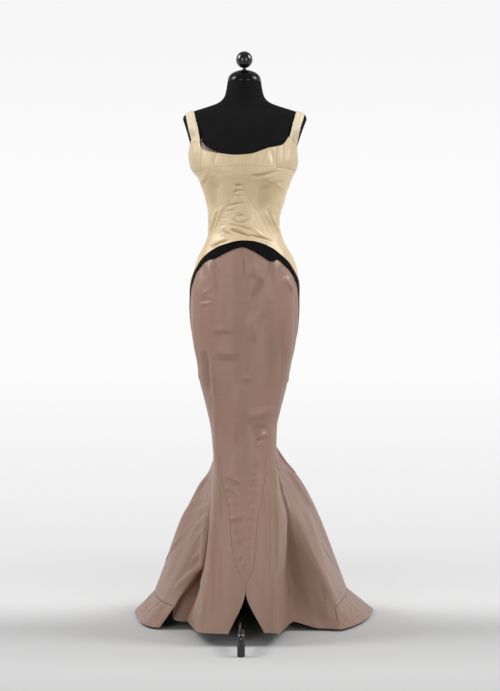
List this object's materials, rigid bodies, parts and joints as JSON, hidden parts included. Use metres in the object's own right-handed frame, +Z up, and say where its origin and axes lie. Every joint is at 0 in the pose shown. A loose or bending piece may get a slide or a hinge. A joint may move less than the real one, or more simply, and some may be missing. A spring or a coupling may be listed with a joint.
{
  "type": "evening gown on a dress form",
  "caption": "Fitted trumpet evening gown with satin bodice, velvet hip band and faille skirt with godets and train, on a limbless dress form with a tripod stand.",
  "frame": {"origin": "on the floor under the middle of the whole part's box", "axes": "+Z up, -Y to the front of the gown, +X to the viewer's right when facing the gown's front"},
  "size_m": [0.773, 1.0328, 1.7475],
  "materials": {
    "satin": "satin",
    "lining": "matte",
    "velvet": "matte pile",
    "faille": "ribbed silk",
    "form_cloth": "matte",
    "neck_satin": "satin",
    "gloss_black": "gloss"
  },
  "bodies": {
    "root": {"bust_band_left": "satin", "bust_band_right": "satin", "cup_side_left": "satin", "cup_side_right": "satin", "bodice_front_left": "satin", "bodice_front_right": "satin", "bodice_insert": "satin", "bodice_back_left": "satin", "bodice_back_right": "satin", "strap_left": "satin", "strap_right": "satin", "foundation_edge": "lining", "velvet_band_front": "velvet", "velvet_band_back": "velvet", "skirt_front_centre": "faille", "skirt_front_left": "faille", "skirt_front_right": "faille", "godet_left": "faille", "godet_right": "faille", "gore_right_front": "faille", "skirt_side_right": "faille", "skirt_side_left": "faille", "skirt_back_right": "faille", "skirt_back_left": "faille", "flounce_right": "faille", "flounce_left": "faille", "flounce_back": "faille", "form_torso": "form_cloth", "neck_cap": "neck_satin", "finial_ball": "gloss_black", "pole": "gloss_black", "hub": "gloss_black", "leg_front": "gloss_black", "foot_front": "gloss_black", "leg_right": "gloss_black", "foot_right": "gloss_black", "leg_left": "gloss_black", "foot_left": "gloss_black"}
  },
  "joints": []
}
